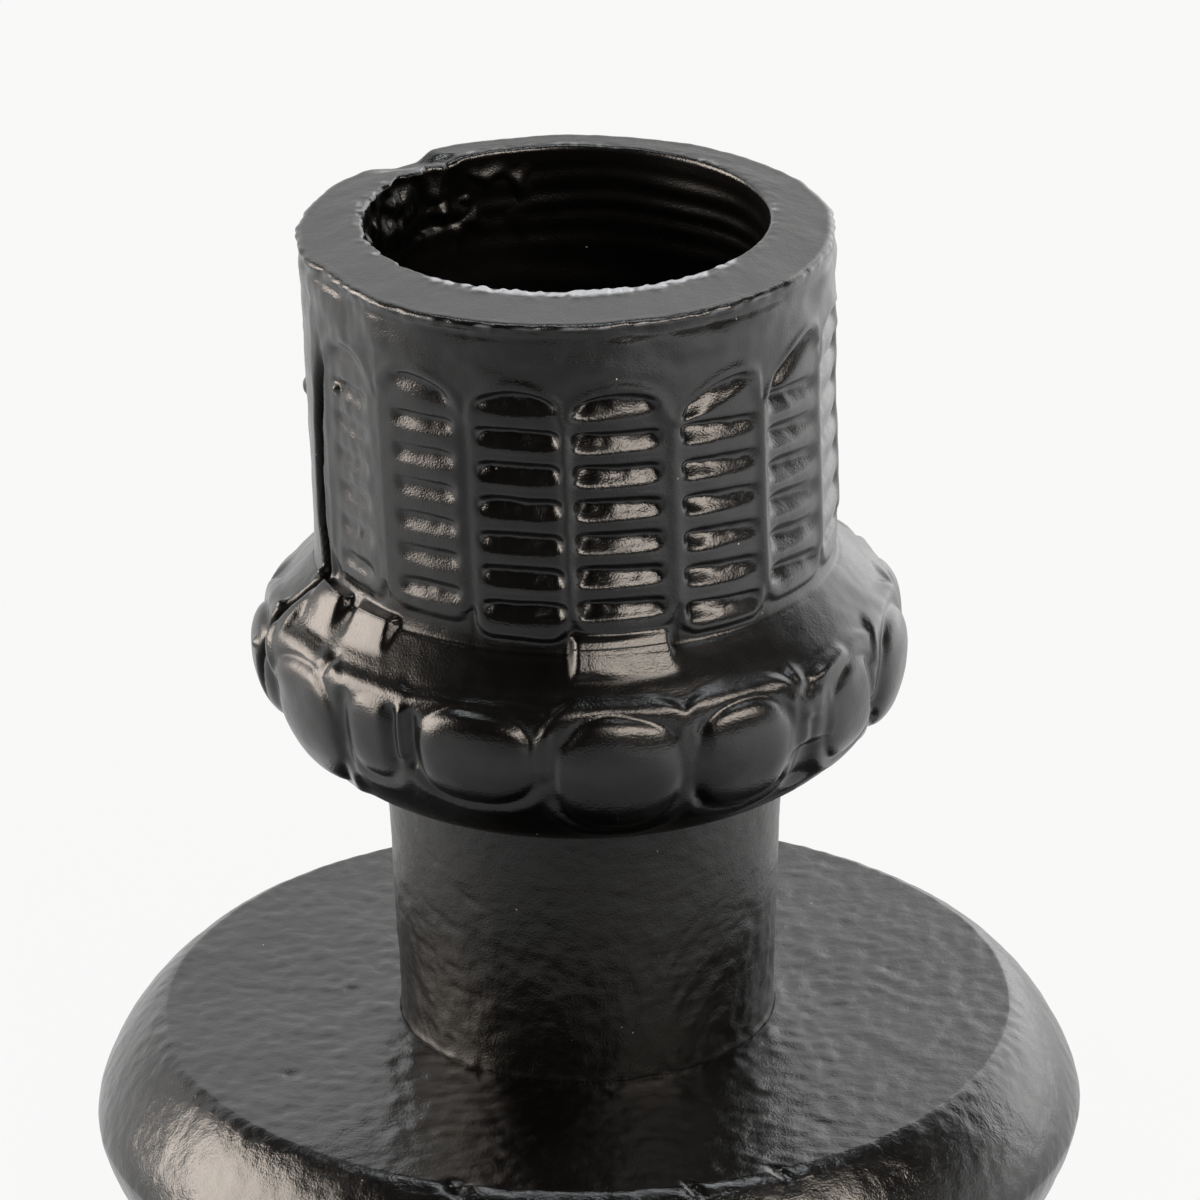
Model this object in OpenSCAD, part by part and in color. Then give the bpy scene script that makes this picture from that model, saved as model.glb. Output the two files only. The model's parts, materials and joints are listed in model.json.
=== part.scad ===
// Small cast candle holder: a ribbed socket on a plain neck and a thick round foot,
// drawn together by a tie rod. The base of the felt is at z = 0 and the axis is Z.
// The front, with the thick side of the rim, faces -Y.

/* [Candle socket] */
// Diameter of the candle bore
bore_d = 22.5; // [20:0.1:24]
// Depth of the candle bore below the rim
bore_depth = 24; // [18:0.5:26]
// Distance of the cored bore behind the middle of the casting
bore_offset = 1.6; // [0:0.1:1.8]
// Chamfer round the mouth of the bore
mouth_chamfer = 0.4; // [0.2:0.1:0.6]
// Mean wall between the bore and the face of the sleeve
wall_t = 3.35; // [3.1:0.05:5]
// Thickness of the floor between the bore and the tapped hole
floor_t = 2.5; // [1.5:0.1:3]
// How far the rim stands out beyond the sleeve
rim_lip = 0.3; // [0.1:0.05:0.6]
// Rounding of the rim's outer edge
rim_round = 0.35; // [0.1:0.05:0.6]
// Height of the plain band between the rim and the arches
rim_band_h = 3.6; // [3:0.1:6]
// Height over which the rim draws in to the sleeve
rim_blend_h = 2.5; // [1:0.1:2.8]

/* [Ladder panels] */
// Number of arched panels round the sleeve
panel_count = 16; // [10:1:18]
// Height of the panelled sleeve
panel_h = 15; // [13:0.5:20]
// Number of slots in a panel, the arched one included
slot_count = 7; // [4:1:8]
// Depth of the slots
slot_depth = 0.5; // [0.2:0.05:0.6]
// Height of a rung between two slots
rung_h = 1; // [0.6:0.05:1.3]
// Width of the upright between two panels
upright_w = 1.1; // [0.6:0.1:1.6]
// Height of the arched slot over its sill
arch_rise = 1.75; // [1.2:0.05:2]
// Plain strip below the last slot
sleeve_hem = 1.25; // [0.8:0.05:2]
// Turn of the first panel from the front
panel_turn = 10.8; // [0:0.1:20]

/* [Egg collar] */
// Height of the collar and cove below the sleeve
collar_h = 12.8; // [12:0.2:15]
// How far the collar reaches beyond the sleeve
collar_reach = 3.3; // [2.6:0.1:4]
// Height of the collar's widest line above its seat
collar_belly = 6.4; // [6:0.1:6.8]
// Radius of the collar's round side in section
collar_round_r = 5.4; // [5:0.1:5.8]
// Radius of the cove between collar and sleeve in section
cove_r = 3; // [2.4:0.1:3.4]
// Number of eggs round the collar
egg_count = 15; // [14:1:18]
// How far an egg stands out of the collar
egg_proud = 0.4; // [0.2:0.05:0.6]
// Depth of the round pocket that an egg lies in
pocket_depth = 1.6; // [1.2:0.05:1.7]
// Least thickness of the dart between two pockets
dart_w = 0.35; // [0.3:0.05:0.7]
// Upward tilt of the eggs
egg_tilt = 16; // [0:1:20]
// Turn of the first egg from the front
egg_turn = 7.3; // [0:0.1:20]
// How far the lip under the collar reaches beyond the neck
lip_reach = 0.7; // [0.3:0.1:1.2]

/* [Neck] */
// Height of the neck that shows
neck_h = 15.7; // [8:0.1:40]
// Diameter of the neck under the collar
neck_top_d = 22.6; // [18:0.2:24]
// Diameter of the neck at the foot
neck_bottom_d = 21.4; // [18:0.2:24]
// Diameter of the hole through the neck
neck_bore_d = 13; // [10:0.5:15]
// Depth to which the neck is let into the foot
neck_seat = 1.5; // [0.5:0.1:2]
// Length of the spigot that centres the socket on the neck
spigot_h = 3; // [1.5:0.5:6]

/* [Foot] */
// Diameter of the foot at its widest
foot_d = 56.2; // [52:0.2:80]
// Diameter of the flat top and base of the foot
foot_top_d = 48; // [46:0.5:50]
// Height of the foot
foot_h = 12.4; // [12:0.2:20]
// Height of the side above its widest line
foot_brow = 6; // [4:0.2:8]
// Fullness of the side, where 2 is a round side and less is slacker
foot_fullness = 1.4; // [1.2:0.1:2]

/* [Tie rod and felt] */
// Diameter of the tie rod
rod_d = 5; // [4:0.5:6]
// Thickness of the flat washer
washer_t = 1; // [0.6:0.1:1.2]
// Diameter of the flat washer
washer_d = 10; // [9.5:0.5:12]
// Thickness of the spring washer
spring_t = 1.2; // [0.8:0.1:1.4]
// Width of the spring washer's ring
spring_w = 1.8; // [1.2:0.1:2]
// Width of the nut across its flats
nut_af = 8; // [7.5:0.5:10]
// Height of the nut
nut_h = 4; // [3:0.2:4.4]
// Length of rod that stands out of the nut
rod_tail = 0.8; // [0.4:0.1:1.2]
// Room between the tail of the rod and the felt
tail_room = 0.5; // [0.3:0.1:1]
// Diameter of the felt
felt_d = 44; // [30:1:44]
// Thickness of the felt
felt_t = 1.2; // [0.8:0.1:2]
// Depth to which the felt is let into the foot
felt_sunk = 0.6; // [0.2:0.1:0.7]

/* [Hidden] */
$fn = 96;

// Clearances, on the radius
seat_gap = 0.1;
spigot_gap = 0.1;
thread_gap = 0.05;
rod_gap = 0.25;
washer_gap = 0.15;
wrench_gap = 2.5;
felt_gap = 0.2;
// Room above the end of the rod
rod_end_room = 0.5;
// Overrun of every cut past the face it opens
over = 1;

// Steps of the outlines that are drawn as points
rim_steps = 4;
cove_steps = 6;
side_steps = 10;
// Sweep of the cove, which ends inside the collar's round side
cove_sweep = 50;
// Lean of the cut through the spring washer
split_lean = 30;
// Facets of the small round forms in a preview
slot_facets = 24;
egg_facets = 48;

// Radius of the arc that rises by rise over a chord of twice half_chord
function arc_r(half_chord, rise) = (half_chord * half_chord + rise * rise) / (2 * rise);

// Radii of the socket, from the bore outwards
bore_r = bore_d / 2;
sleeve_r = bore_r + wall_t;
core_r = sleeve_r - slot_depth;
rim_r = sleeve_r + rim_lip;
collar_r = sleeve_r + collar_reach;
collar_mid_r = collar_r - collar_round_r;
lip_r = neck_top_d / 2 + lip_reach;

// Levels within the socket, above its seat
socket_h = collar_h + panel_h + rim_band_h;
first_sill = collar_h + panel_h - arch_rise;
slot_pitch = (first_sill - collar_h - sleeve_hem) / (slot_count - 1);
slot_h = slot_pitch - rung_h;
tapped_top = socket_h - bore_depth - floor_t;

// The panels and slots
panel_step = 360 / panel_count;
slot_angle = panel_step - 2 * asin(upright_w / 2 / sleeve_r);
panel_w = 2 * sleeve_r * sin(panel_step / 2) - upright_w;
arch_arc_r = arc_r(panel_w / 2, arch_rise);
slot_arc_r = arc_r(slot_h / 2, slot_depth);

// The eggs and the pockets that they lie in
egg_step = 360 / egg_count;
pocket_floor = collar_round_r - pocket_depth;
pocket_r = (collar_mid_r + pocket_floor * cos(egg_tilt)) * sin(egg_step / 2) - dart_w / 2;

// Levels of the whole, above the table
foot_z = felt_t - felt_sunk;
foot_top = foot_z + foot_h;
neck_z = foot_top - neck_seat;
socket_z = foot_top + neck_h;
rod_tail_z = felt_t + tail_room;
nut_z = rod_tail_z + rod_tail;
spring_z = nut_z + nut_h;
washer_z = spring_z + spring_t;
web_z = washer_z + washer_t;
rod_top_z = socket_z + tapped_top - rod_end_room;

// Rod, washers and recess
rod_chamfer = rod_d / 10;
washer_hole_d = rod_d + 2 * washer_gap;
recess_r = washer_d / 2 + wrench_gap;
foot_side_r = foot_d / 2;
foot_flat_r = foot_top_d / 2;

// Points of an arc about [x, z], from angle a0 to a1
function arc(x, z, r, a0, a1, steps) =
    [for (i = [0:steps]) let (a = a0 + (a1 - a0) * i / steps) [x + r * cos(a), z + r * sin(a)]];

// Points of the foot's side, from the flat at height z to the widest line at height 0
function side(z) =
    [for (i = [0:side_steps]) let (a = 90 * i / side_steps, k = 2 / foot_fullness)
        [foot_flat_r + (foot_side_r - foot_flat_r) * pow(sin(a), k), z * pow(cos(a), k)]];

// Half section of the socket casting: rim, sleeve, cove, round collar and lip
module socket_section() {
    polygon(concat(
        [[0, socket_h]],
        arc(rim_r - rim_round, socket_h - rim_round, rim_round, 90, 0, rim_steps),
        [[sleeve_r, socket_h - rim_blend_h]],
        arc(sleeve_r + cove_r, collar_h, cove_r, 180, 180 + cove_sweep, cove_steps),
        [[collar_mid_r, collar_belly], [lip_r, collar_belly], [lip_r, 0], [0, 0]]));
    translate([collar_mid_r, collar_belly])
        circle(r = collar_round_r);
}

// Arched slot at the head of a panel, with a flat sill and a flat back
module arched_slot() {
    translate([core_r, 0, first_sill])
        rotate([90, 0, 90])
            linear_extrude(height = slot_depth + over)
                intersection() {
                    translate([0, arch_rise - arch_arc_r])
                        circle(r = arch_arc_r);
                    translate([-panel_w, 0])
                        square([2 * panel_w, arch_rise + over]);
                }
}

// Hollow slot that runs across a panel, with its middle at height z
module round_slot(z) {
    translate([0, 0, z])
        rotate([0, 0, -slot_angle / 2])
            rotate_extrude(angle = slot_angle)
                translate([core_r + slot_arc_r, 0])
                    circle(r = slot_arc_r, $fn = slot_facets);
}

// The ladder panels: an arched slot over a row of level ones, all round the sleeve
module panel_slots() {
    for (i = [0:panel_count - 1])
        rotate([0, 0, panel_turn - 90 + i * panel_step]) {
            arched_slot();
            for (j = [1:slot_count - 1])
                round_slot(first_sill + slot_h / 2 - j * slot_pitch);
        }
}

// Places its children round the collar, facing out and up from the middle of its round side
module round_the_collar() {
    for (i = [0:egg_count - 1])
        rotate([0, 0, egg_turn - 90 + i * egg_step])
            translate([collar_mid_r, 0, collar_belly])
                rotate([0, -egg_tilt, 0])
                    children();
}

module egg_pockets() {
    round_the_collar()
        translate([pocket_floor, 0, 0])
            rotate([0, 90, 0])
                cylinder(r = pocket_r, h = pocket_depth + over, $fn = egg_facets);
}

module eggs() {
    round_the_collar()
        translate([collar_round_r + egg_proud - pocket_r, 0, 0])
            rotate([0, 0, 180])
                sphere(r = pocket_r, $fn = egg_facets);
}

// Ribbed socket and egg collar in one casting, with a spigot and a tapped hole below
module candle_socket() {
    color([0.05, 0.05, 0.05])
        translate([0, 0, socket_z])
            difference() {
                union() {
                    difference() {
                        rotate_extrude() socket_section();
                        egg_pockets();
                        panel_slots();
                    }
                    eggs();
                    translate([0, 0, -spigot_h])
                        cylinder(d = neck_bore_d - 2 * spigot_gap, h = spigot_h + over);
                }
                translate([0, bore_offset, socket_h - bore_depth])
                    cylinder(d = bore_d, h = bore_depth + over);
                translate([0, bore_offset, socket_h - mouth_chamfer])
                    cylinder(r1 = bore_r, r2 = bore_r + mouth_chamfer + over,
                             h = mouth_chamfer + over);
                translate([0, 0, -spigot_h - over])
                    cylinder(d = rod_d + 2 * thread_gap, h = tapped_top + spigot_h + over);
            }
}

// Slightly tapered tube between the foot and the socket
module neck_tube() {
    color([0.05, 0.05, 0.05])
        translate([0, 0, neck_z])
            difference() {
                union() {
                    cylinder(d = neck_bottom_d, h = neck_seat);
                    translate([0, 0, neck_seat])
                        cylinder(d1 = neck_bottom_d, d2 = neck_top_d, h = neck_h);
                }
                translate([0, 0, -over])
                    cylinder(d = neck_bore_d, h = neck_seat + neck_h + 2 * over);
            }
}

// Heavy round foot: a seat for the neck above, recesses for the nut and the felt below
module foot() {
    brow = side(foot_brow);
    under = side(foot_brow - foot_h);
    color([0.06, 0.06, 0.06])
        translate([0, 0, foot_z])
            difference() {
                translate([0, 0, foot_h - foot_brow])
                    rotate_extrude()
                        polygon(concat([[0, foot_brow]], brow,
                                       [for (i = [side_steps - 1:-1:0]) under[i]],
                                       [[0, foot_brow - foot_h]]));
                translate([0, 0, foot_h - neck_seat])
                    cylinder(d = neck_bottom_d + 2 * seat_gap, h = neck_seat + over);
                translate([0, 0, -over])
                    cylinder(d = felt_d + 2 * felt_gap, h = felt_sunk + over);
                cylinder(r = recess_r, h = web_z - foot_z);
                cylinder(d = rod_d + 2 * rod_gap, h = foot_h);
            }
}

// Rod from below the nut to the tapped hole in the socket, chamfered at both ends
module tie_rod() {
    length = rod_top_z - rod_tail_z;
    rod_r = rod_d / 2;
    color([0.55, 0.55, 0.56])
        translate([0, 0, rod_tail_z])
            rotate_extrude()
                polygon([[0, 0], [rod_r - rod_chamfer, 0], [rod_r, rod_chamfer],
                         [rod_r, length - rod_chamfer], [rod_r - rod_chamfer, length],
                         [0, length]]);
}

module flat_washer() {
    color([0.62, 0.62, 0.64])
        translate([0, 0, washer_z])
            difference() {
                cylinder(d = washer_d, h = washer_t);
                translate([0, 0, -over])
                    cylinder(d = washer_hole_d, h = washer_t + 2 * over);
            }
}

// Split washer, as it lies when the nut is tight
module spring_washer() {
    split_w = spring_t / 2;
    color([0.5, 0.5, 0.52])
        translate([0, 0, spring_z])
            difference() {
                cylinder(d = washer_hole_d + 2 * spring_w, h = spring_t);
                translate([0, 0, -over])
                    cylinder(d = washer_hole_d, h = spring_t + 2 * over);
                translate([0, 0, spring_t / 2])
                    rotate([0, split_lean, 0])
                        translate([-split_w / 2, 0, -2 * spring_t])
                            cube([split_w, washer_hole_d + 2 * spring_w, 4 * spring_t]);
            }
}

// Hexagon nut with its corners turned off above and below
module hex_nut() {
    flat_r = nut_af / 2;
    corner_r = flat_r / cos(30);
    turned_h = (corner_r - flat_r) / 2;
    color([0.62, 0.62, 0.64])
        translate([0, 0, nut_z])
            difference() {
                intersection() {
                    cylinder(r = corner_r, h = nut_h, $fn = 6);
                    rotate_extrude()
                        polygon([[0, 0], [flat_r, 0], [corner_r, turned_h],
                                 [corner_r, nut_h - turned_h], [flat_r, nut_h], [0, nut_h]]);
                }
                translate([0, 0, -over])
                    cylinder(d = rod_d + 2 * thread_gap, h = nut_h + 2 * over);
            }
}

// Round felt that closes the recess and stands on the table
module felt_pad() {
    color([0.1, 0.12, 0.1])
        cylinder(d = felt_d, h = felt_t);
}

candle_socket();
neck_tube();
foot();
tie_rod();
flat_washer();
spring_washer();
hex_nut();
felt_pad();
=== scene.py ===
# Looks of a small cast candle holder, painted black, on a pale studio floor.
# The castings are turned skins whose relief is worked out point by point, in millimetres.
import json
import math
import bpy
import numpy as np
from mathutils import Matrix, Vector


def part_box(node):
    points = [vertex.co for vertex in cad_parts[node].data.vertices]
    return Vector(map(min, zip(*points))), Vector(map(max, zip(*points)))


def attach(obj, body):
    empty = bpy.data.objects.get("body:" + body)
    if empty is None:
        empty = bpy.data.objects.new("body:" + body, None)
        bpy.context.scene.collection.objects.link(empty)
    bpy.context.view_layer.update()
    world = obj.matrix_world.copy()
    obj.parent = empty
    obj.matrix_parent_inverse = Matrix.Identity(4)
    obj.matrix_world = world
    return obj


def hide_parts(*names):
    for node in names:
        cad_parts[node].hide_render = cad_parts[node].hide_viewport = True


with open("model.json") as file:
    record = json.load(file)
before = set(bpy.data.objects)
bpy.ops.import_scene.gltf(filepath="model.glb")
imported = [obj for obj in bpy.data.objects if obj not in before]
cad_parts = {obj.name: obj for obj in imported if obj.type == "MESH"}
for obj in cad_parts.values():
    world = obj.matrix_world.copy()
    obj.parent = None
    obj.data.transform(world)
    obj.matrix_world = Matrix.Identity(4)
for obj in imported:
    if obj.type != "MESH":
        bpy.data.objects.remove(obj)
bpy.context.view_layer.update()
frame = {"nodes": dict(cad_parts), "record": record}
mm = 0.001


def boxOf(node):
    low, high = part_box(node)
    return [v / mm for v in low], [v / mm for v in high]


socketLow, socketHigh = boxOf("candle_socket")
neckLow, neckHigh = boxOf("neck_tube")
footLow, footHigh = boxOf("foot")
webBottom = boxOf("flat_washer")[1][2]
boreMount = next(m for m in frame["record"]["mounts"] if m["name"] == "candle_bore")
rimTop = socketHigh[2]
seatTop = neckHigh[2]
footTop = footHigh[2]
print("frame: rim at %.1f mm, seat at %.1f mm, foot at %.1f mm" % (rimTop, seatTop, footTop))


# Shapes in numbers

def smooth(low, high, x):
    t = np.clip((x - low) / (high - low), 0, 1)
    return t * t * (3 - 2 * t)


def bell(x, width):
    return np.exp(-(x / width) ** 2)


def grain(x, y, z, size, seed):
    # gradient noise with grains of that size in mm, from about -1 to 1
    rng = np.random.default_rng(seed)
    table = rng.permutation(256)
    slopes = rng.normal(size=(256, 3))
    slopes /= np.linalg.norm(slopes, axis=1)[:, None]
    p = [np.asarray(c) / size + 90.5 for c in np.broadcast_arrays(x, y, z)]
    cell = [np.floor(c).astype(int) for c in p]
    part = [c - i for c, i in zip(p, cell)]
    ease = [f * f * f * (f * (f * 6 - 15) + 10) for f in part]
    total = np.zeros(p[0].shape)
    for corner in range(8):
        step = [corner & 1, corner >> 1 & 1, corner >> 2 & 1]
        h = 0
        for i, s in zip(cell, step):
            h = table[(h + i + s) & 255]
        weight = 1
        for e, s in zip(ease, step):
            weight = weight * (e if s else 1 - e)
        total += weight * sum(slopes[h, k] * (part[k] - step[k]) for k in range(3))
    return total * 1.6


def grains(x, y, z, layers):
    # several of them together: height, size and seed of each
    return sum(high * grain(x, y, z, size, seed) for high, size, seed in layers)


def soften(field, passes):
    # fills corners as thick paint does; rows don't wrap, turns do
    for _ in range(passes):
        field = (np.roll(field, 1, 1) + 2 * field + np.roll(field, -1, 1)) / 4
        padded = np.vstack([field[:1], field, field[-1:]])
        field = (padded[:-2] + 2 * padded[1:-1] + padded[2:]) / 4
    return field


def spline(knots, step):
    # smooth run through the knots, sampled about every step mm
    k = np.array(knots, float)
    k = np.vstack([2 * k[0] - k[1], k, 2 * k[-1] - k[-2]])
    out = [k[1]]
    for a, b, c, d in zip(k, k[1:], k[2:], k[3:]):
        count = max(1, int(math.ceil(np.linalg.norm(c - b) / step)))
        for t in np.arange(1, count + 1) / count:
            out.append(0.5 * (2 * b + (c - a) * t + (2 * a - 5 * b + 4 * c - d) * t * t
                              + (3 * b - a - 3 * c + d) * t ** 3))
    return np.array(out)


def straight(a, b, step):
    count = max(1, int(math.ceil(math.hypot(b[0] - a[0], b[1] - a[1]) / step)))
    return np.array([[a[0] + (b[0] - a[0]) * t / count, a[1] + (b[1] - a[1]) * t / count]
                     for t in range(count + 1)])


def rounded(corners, steps, radius):
    # path through the corners: steps[i] is the spacing after corner i, radius[i] rounds corner i
    pieces, last = [], np.array(corners[0], float)
    for i in range(1, len(corners)):
        here = np.array(corners[i], float)
        r = radius.get(i, 0)
        if i == len(corners) - 1 or r == 0:
            pieces.append(straight(last, here, steps[i - 1]))
            last = here
            continue
        back = (last - here) / np.linalg.norm(last - here)
        ahead = np.array(corners[i + 1], float) - here
        ahead /= np.linalg.norm(ahead)
        start, end = here + back * r, here + ahead * r
        pieces.append(straight(last, start, steps[i - 1]))
        t = np.linspace(0, 1, 9)[:, None]
        pieces.append(start * (1 - t) ** 2 + here * 2 * t * (1 - t) + end * t ** 2)
        last = end
    path = np.vstack(pieces)
    keep = np.r_[True, np.linalg.norm(np.diff(path, axis=0), axis=1) > 1e-5]
    return path[keep]


def pathNormals(path, ring):
    if ring:
        t = np.roll(path, -1, 0) - np.roll(path, 1, 0)
    else:
        t = np.gradient(path, axis=0)
    n = np.stack([t[:, 1], -t[:, 0]], 1)
    return n / np.maximum(np.linalg.norm(n, axis=1)[:, None], 1e-9)


def gridMesh(name, points, ring, masks=None):
    # closed skin from rows of points: a ring of rows, or rows whose ends close on the axis
    rows, turns = points.shape[:2]
    first, last = (0, rows) if ring else (1, rows - 1)
    body = points[first:last].reshape(-1, 3)
    count = last - first
    i, j = np.meshgrid(np.arange(count if ring else count - 1), np.arange(turns), indexing="ij")
    below, above = i * turns, (i + 1) % count * turns
    after = (j + 1) % turns
    quads = np.stack([below + j, below + after, above + after, above + j], -1).reshape(-1, 4)
    corners, sizes = [quads.ravel()], [np.full(len(quads), 4)]
    co = [body]
    if not ring:
        here = np.arange(turns)
        following = (here + 1) % turns
        bottom, top = len(body), len(body) + 1
        lastRow = (count - 1) * turns
        corners += [np.stack([np.full(turns, bottom), following, here], 1).ravel(),
                    np.stack([np.full(turns, top), lastRow + here, lastRow + following], 1).ravel()]
        sizes += [np.full(turns, 3)] * 2
        co += [points[0].mean(0)[None], points[-1].mean(0)[None]]
    co, corners, sizes = np.vstack(co) * mm, np.concatenate(corners), np.concatenate(sizes)
    mesh = bpy.data.meshes.new(name)
    mesh.vertices.add(len(co))
    mesh.vertices.foreach_set("co", co.astype(np.float32).ravel())
    mesh.loops.add(len(corners))
    mesh.loops.foreach_set("vertex_index", corners.astype(np.int32))
    mesh.polygons.add(len(sizes))
    mesh.polygons.foreach_set("loop_start", np.r_[0, np.cumsum(sizes)[:-1]].astype(np.int32))
    mesh.polygons.foreach_set("use_smooth", np.ones(len(sizes), bool))
    mesh.update(calc_edges=True)
    mesh.validate()
    for key, values in (masks or {}).items():
        flat = values[first:last].ravel()
        if not ring:
            flat = np.r_[flat, values[0].mean(), values[-1].mean()]
        layer = mesh.attributes.new(key, "FLOAT", "POINT")
        layer.data.foreach_set("value", flat.astype(np.float32))
    piece = bpy.data.objects.new(name, mesh)
    bpy.context.scene.collection.objects.link(piece)
    print("%s: %d faces" % (name, len(sizes)))
    return piece


def azimuths(turns):
    # degrees from the front, to the right
    return (np.arange(turns) / turns * 360 - 180)[None, :]


def around(path, az, lift, normals):
    # points of a turned skin whose relief lifts it along the section's normals
    r = path[:, 0][:, None] + normals[:, 0][:, None] * lift
    z = path[:, 1][:, None] + normals[:, 1][:, None] * lift
    a = np.radians(az)
    x, y = r * np.sin(a), -r * np.cos(a)
    return np.stack([x, y, z + np.zeros_like(x)], -1)


def layOut(path, turns, ring):
    # azimuths and normals of a turned skin, and where its points are before any relief
    az = azimuths(turns)
    normals = pathNormals(path, ring)
    base = around(path, az, 0, normals)
    return az, normals, base[..., 0], base[..., 1], base[..., 2]


def angleGap(az, centre):
    return (az - centre + 180) % 360 - 180


# Candle socket

socketSet = {
    "turns": 900,                 # points round the casting
    "fine": 0.105,                # spacing of the rows on the ornament
    "lean": 0.6,                  # how far the rim leans to the left of the seat
    "leanFrom": 25,               # from that depth below the rim up
    "boreR": boreMount["dims"]["r_mm"],
    "boreBack": boreMount["pos_m"][1] / mm,
    "boreDepth": 24.0,
    "tapR": 2.55,
    "tapTop": 4.9,                # above the seat
    "spigotR": 6.4,
    # section of the casting: radius, depth below the rim
    "outline": [(11.95, 31.4), (12.35, 31.28), (13.7, 30.72), (15.0, 29.85), (16.25, 28.5),
                (17.1, 26.9), (17.52, 25.1), (17.6, 23.1), (17.32, 21.95), (16.68, 20.95),
                (14.98, 19.3), (14.62, 18.9), (14.5, 17.4), (14.5, 12.0), (14.6, 6.0),
                (14.76, 3.0), (14.78, 0.45)],
    "rimRound": 0.32,
    "mouthRound": 0.35,
    # waves of the casting: height, size and seed of each
    "waves": [(0.06, 5, 3), (0.035, 2.0, 4), (0.012, 0.9, 5)],
    "bandWave": 0.15,             # on the plain band under the rim
    "bandGrain": 0.03,
    "slotGrain": 0.06,            # in the slots
    "dullBore": 0.45,             # how much less the bore's paint mirrors
    "cornerShade": 0.9,            # and, as painted shade, that of the cove and the slots' upper edges
}

panelSet = {
    # panels that the front shows, from the left: azimuth of the middle, half width of the slots,
    # depth of the first level slot, pitch, depth of the lower edge, how deep it was cast,
    # the rise of its arch to the right and how much shallower its slots get that way
    "seen": [(-58.5, 1.75, 6.70, 2.05, 18.1, 0.45, 0.0, 0.0),
             (-34.0, 2.00, 6.60, 1.98, 17.9, 0.58, -0.16, -0.15),
             (-11.8, 2.32, 6.80, 2.04, 18.6, 1.0, 0.0, 0.0),
             (9.6, 2.42, 7.00, 1.97, 18.2, 0.95, 0.04, 0.1),
             (33.6, 2.42, 7.20, 2.09, 18.8, 0.9, 0.28, 0.5),
             (56.8, 2.38, 6.90, 2.04, 18.4, 1.3, 0.45, 0.6)],
    # azimuths and heights of the ribs at their left, and of the one after the last
    "ribs": [(-70.5, 0.06), (-47.5, 0.0), (-23.7, -0.1), (-1.9, 0.2), (22.1, 0.1), (44.8, 0.22),
             (68.0, 0.2)],
    "count": 16,
    # the others: half width, depth of the first level slot, pitch, depth of the lower edge
    "other": (2.36, 6.85, 2.03, 18.35),
    "seed": 11,
    "radius": 14.6,               # at which widths are measured
    "wander": 0.06,               # of all edges
    "slots": 6,
    "halfHigh": 0.58,
    "deep": 0.6,
    "deepLeft": (0.85, 0.35),     # more at the left end, in the two panels right of the middle
    "endWide": 0.75,              # of the round ends of a slot
    "archTop": 4.05,              # depth of the arched slot, where the first is as in "other"
    "archEnd": 5.2,               # and of its ends
    "archHigh": 0.2,              # how far its sill rises
    "ribHigh": 0.16,              # of the frame round the arch
    "ribWide": 0.36,
    "frameTop": 6.3,              # where the frame's sides turn into its arch
    "dent": 0.035,                # along the middles of the rungs
    "frameLine": 0.03,            # scored in the frame
    "lowLine": 0.04,              # scored under the last slot
    "standOff": 0.27,             # of the panels from the cove
    "cornerR": 1.1,
    # facets of the cove under the panels: azimuths and depths between which they run, radii at
    # those depths, and how much they fall off to the right
    "facets": [(-75, -60, 18.9, 20.5, 15.05, 15.98, 0.0),
               (-56, -43.5, 18.8, 20.1, 14.95, 15.72, 0.0),
               (-1.8, 19.8, 18.35, 19.95, 14.72, 15.62, 0.07)],
    "coveNormal": 0.7,            # outward part of the cove's normal, and its upward part
}

eggSet = {
    "count": 15,
    # eggs that the front shows: azimuth, half width in degrees, top, bottom, height, hood
    "seen": [(-61.5, 11.4, 22.2, 29.4, 0.5, 0.1), (-41.2, 5.6, 22.4, 27.0, 0.26, 0.04),
             (-19.8, 11.3, 21.95, 27.4, 0.62, 0.06), (6.3, 11.4, 22.0, 29.0, 0.62, 0.22),
             (30.2, 9.9, 22.0, 28.6, 0.66, 0.24), (58.5, 8.4, 22.3, 28.0, 0.34, 0.14)],
    "next": 79.0,                 # azimuth of the first that it doesn't
    "other": (22.0, 28.6, 0.75),  # top, bottom and height of those
    "seed": 5,
    "radius": 17.7,               # at which widths are measured
    "warp": 0.16,                 # of their outlines
    "square": 2.5,
    "cup": 0.14,                  # height of the ring round the lower half
    "trough": 0.06,
    "grain": 0.035,               # on hoods and cups
    # darts and grooves between them: azimuth, depths of top and bottom, half width, height
    "darts": [(-34.6, 22.4, 25.3, 0.22, 0.42), (-36.4, 22.6, 25.6, 0.3, -0.35),
              (-32.6, 22.6, 25.8, 0.3, -0.35), (-8.2, 22.9, 25.2, 0.12, 0.16),
              (-6.7, 22.6, 25.4, 0.13, 0.2), (-4.4, 23.4, 26.4, 0.12, 0.14),
              (-48.6, 22.6, 27.0, 0.3, -0.3), (45.5, 25.9, 28.6, 0.9, -0.45),
              (40.3, 22.6, 27.4, 0.16, 0.22), (50.2, 23.2, 25.8, 0.15, 0.16),
              (45.2, 22.7, 23.9, 0.55, 0.34), (43.0, 20.8, 22.3, 0.3, 0.2)],
    # free strokes on the collar and the cove: places along them, half width, height
    "strokes": [([(46.8, 22.2), (56.3, 21.5)], 0.3, 0.22),
                ([(62.9, 23.0), (64.6, 25.2), (69.6, 27.1)], 0.24, -0.34),
                ([(-61.3, 18.4), (-53.5, 19.8), (-53.8, 20.8), (-54.7, 21.9)], 0.24, -0.26),
                ([(21.8, 22.8), (20.6, 25.2), (22.0, 27.6)], 0.2, -0.16)],
}


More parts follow.
